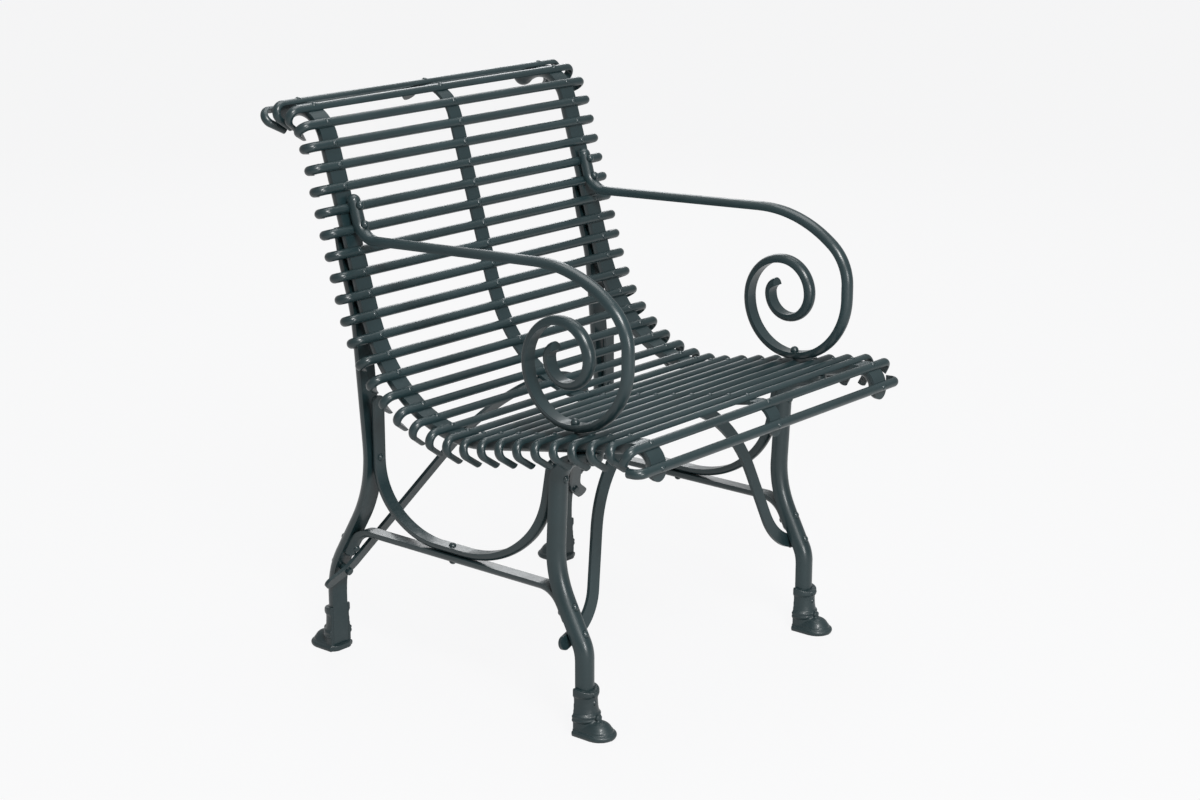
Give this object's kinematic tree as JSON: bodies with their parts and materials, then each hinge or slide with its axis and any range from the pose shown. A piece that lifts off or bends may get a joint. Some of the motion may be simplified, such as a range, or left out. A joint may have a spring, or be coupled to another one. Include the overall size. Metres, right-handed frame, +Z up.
{
  "type": "wrought iron armchair",
  "caption": "Patio armchair of bent half-round bars with a slatted seat and back, scrolled arms, arched braces and cast feet.",
  "frame": {"origin": "centre of the chair's outline on the floor plane", "axes": "+Z up; the sitter faces -Y; +X to the sitter's left, across the chair"},
  "size_m": [0.62, 0.7236, 0.8351],
  "materials": {
    "slat_coat": "semi-gloss dark grey coating",
    "frame_coat": "semi-gloss dark grey coating",
    "casting_coat": "semi-gloss dark grey coating over a cast skin",
    "rivet_coat": "semi-gloss dark grey coating"
  },
  "bodies": {
    "root": {"slat_01": "slat_coat", "slat_02": "slat_coat", "slat_03": "slat_coat", "slat_04": "slat_coat", "slat_05": "slat_coat", "slat_06": "slat_coat", "slat_07": "slat_coat", "slat_08": "slat_coat", "slat_09": "slat_coat", "slat_10": "slat_coat", "slat_11": "slat_coat", "slat_12": "slat_coat", "slat_13": "slat_coat", "slat_14": "slat_coat", "slat_15": "slat_coat", "slat_16": "slat_coat", "slat_17": "slat_coat", "slat_18": "slat_coat", "slat_19": "slat_coat", "slat_20": "slat_coat", "slat_21": "slat_coat", "slat_22": "slat_coat", "slat_23": "slat_coat", "slat_24": "slat_coat", "slat_25": "slat_coat", "slat_26": "slat_coat", "slat_27": "slat_coat", "slat_28": "slat_coat", "slat_29": "slat_coat", "slat_30": "slat_coat", "slat_31": "slat_coat", "slat_32": "slat_coat", "side_strap_left": "frame_coat", "side_strap_right": "frame_coat", "centre_strap": "frame_coat", "arm_left": "frame_coat", "arm_right": "frame_coat", "front_leg_left": "frame_coat", "front_leg_right": "frame_coat", "rear_leg_left": "frame_coat", "rear_leg_right": "frame_coat", "front_foot_left": "casting_coat", "front_foot_right": "casting_coat", "rear_foot_left": "casting_coat", "rear_foot_right": "casting_coat", "swag_left": "frame_coat", "swag_right": "frame_coat", "arch_left": "frame_coat", "arch_right": "frame_coat", "front_brace": "frame_coat", "rear_brace": "frame_coat", "slat_rivets_left": "rivet_coat", "slat_rivets_centre": "rivet_coat", "slat_rivets_right": "rivet_coat", "arm_bolts": "rivet_coat", "frame_rivets": "rivet_coat"}
  },
  "joints": []
}
